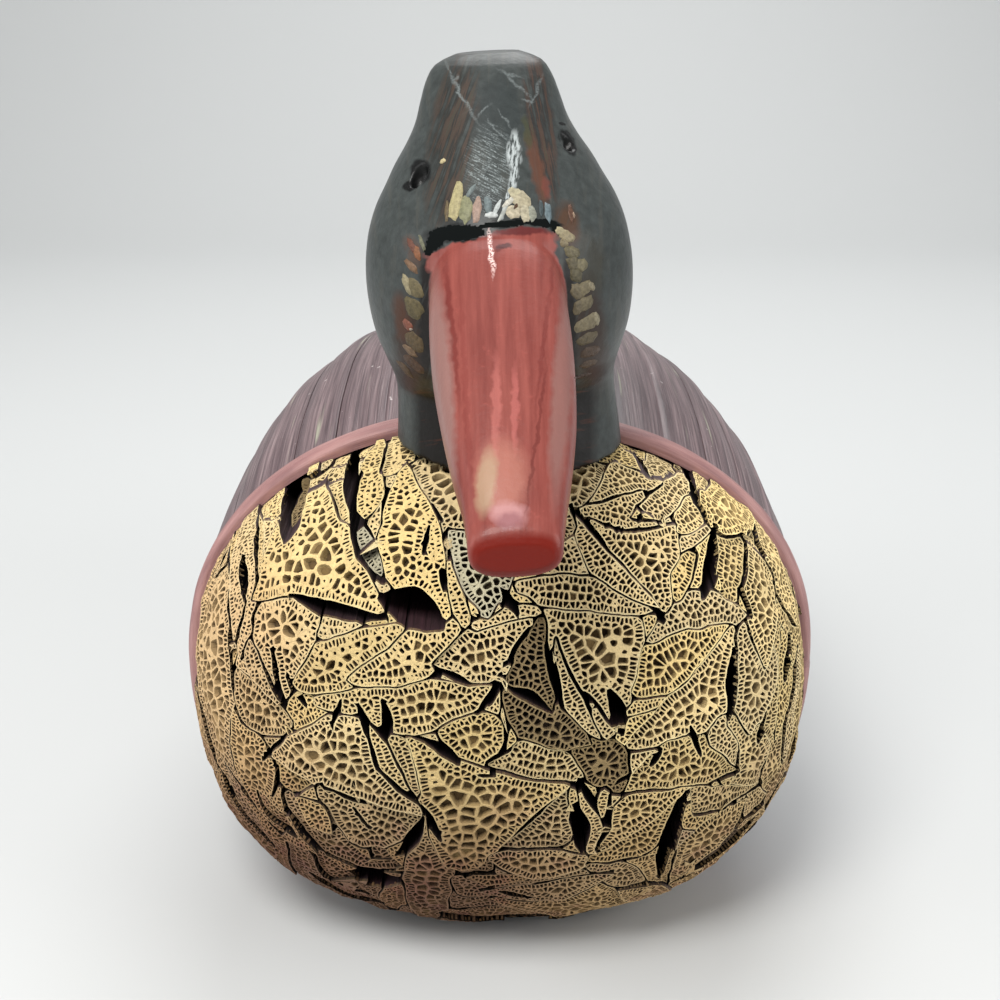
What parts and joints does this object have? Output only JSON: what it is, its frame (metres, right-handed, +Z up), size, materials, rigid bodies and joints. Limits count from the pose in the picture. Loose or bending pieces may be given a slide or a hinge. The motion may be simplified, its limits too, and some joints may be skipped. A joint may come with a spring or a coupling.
{
  "type": "decoy duck",
  "caption": "Folk decoy duck with a painted carved wooden head on a body of bundled dried stalks, wrapped behind in dyed leaf-sheath strips.",
  "frame": {"origin": "centre of the bounding box in plan, on the surface the duck rests on", "axes": "+Z up, the bill points along -Y and the tail along +Y"},
  "size_m": [0.1672, 0.33, 0.2238],
  "materials": {
    "painted_wood": "satin paint on carved wood, grey-green head with a red bill",
    "stalk": "matte dried pith with open cells",
    "sheath": "satin dyed leaf sheath",
    "band": "matte dyed leaf strip"
  },
  "bodies": {
    "root": {"head": "painted_wood", "rim_band": "band", "sheath_strip_01": "sheath", "sheath_strip_02": "sheath", "sheath_strip_03": "sheath", "sheath_strip_04": "sheath", "sheath_strip_05": "sheath", "sheath_strip_06": "sheath", "sheath_strip_07": "sheath", "sheath_strip_08": "sheath", "sheath_strip_09": "sheath", "sheath_strip_10": "sheath", "sheath_strip_11": "sheath", "sheath_strip_12": "sheath", "stalk_01": "stalk", "stalk_02": "stalk", "stalk_03": "stalk", "stalk_04": "stalk", "stalk_05": "stalk", "stalk_06": "stalk", "stalk_07": "stalk", "stalk_08": "stalk", "stalk_09": "stalk", "stalk_10": "stalk", "stalk_11": "stalk", "stalk_12": "stalk", "stalk_13": "stalk", "stalk_14": "stalk", "stalk_15": "stalk", "stalk_16": "stalk", "stalk_17": "stalk", "stalk_18": "stalk", "stalk_19": "stalk", "stalk_20": "stalk", "stalk_21": "stalk", "stalk_22": "stalk", "stalk_23": "stalk", "stalk_24": "stalk", "stalk_25": "stalk", "stalk_26": "stalk", "stalk_27": "stalk", "stalk_28": "stalk", "stalk_29": "stalk", "stalk_30": "stalk", "stalk_31": "stalk", "stalk_32": "stalk", "stalk_33": "stalk", "stalk_34": "stalk", "stalk_35": "stalk", "stalk_36": "stalk", "stalk_37": "stalk", "stalk_38": "stalk", "stalk_39": "stalk", "stalk_40": "stalk", "stalk_41": "stalk", "stalk_42": "stalk", "stalk_43": "stalk", "stalk_44": "stalk", "stalk_45": "stalk", "stalk_46": "stalk"}
  },
  "joints": []
}
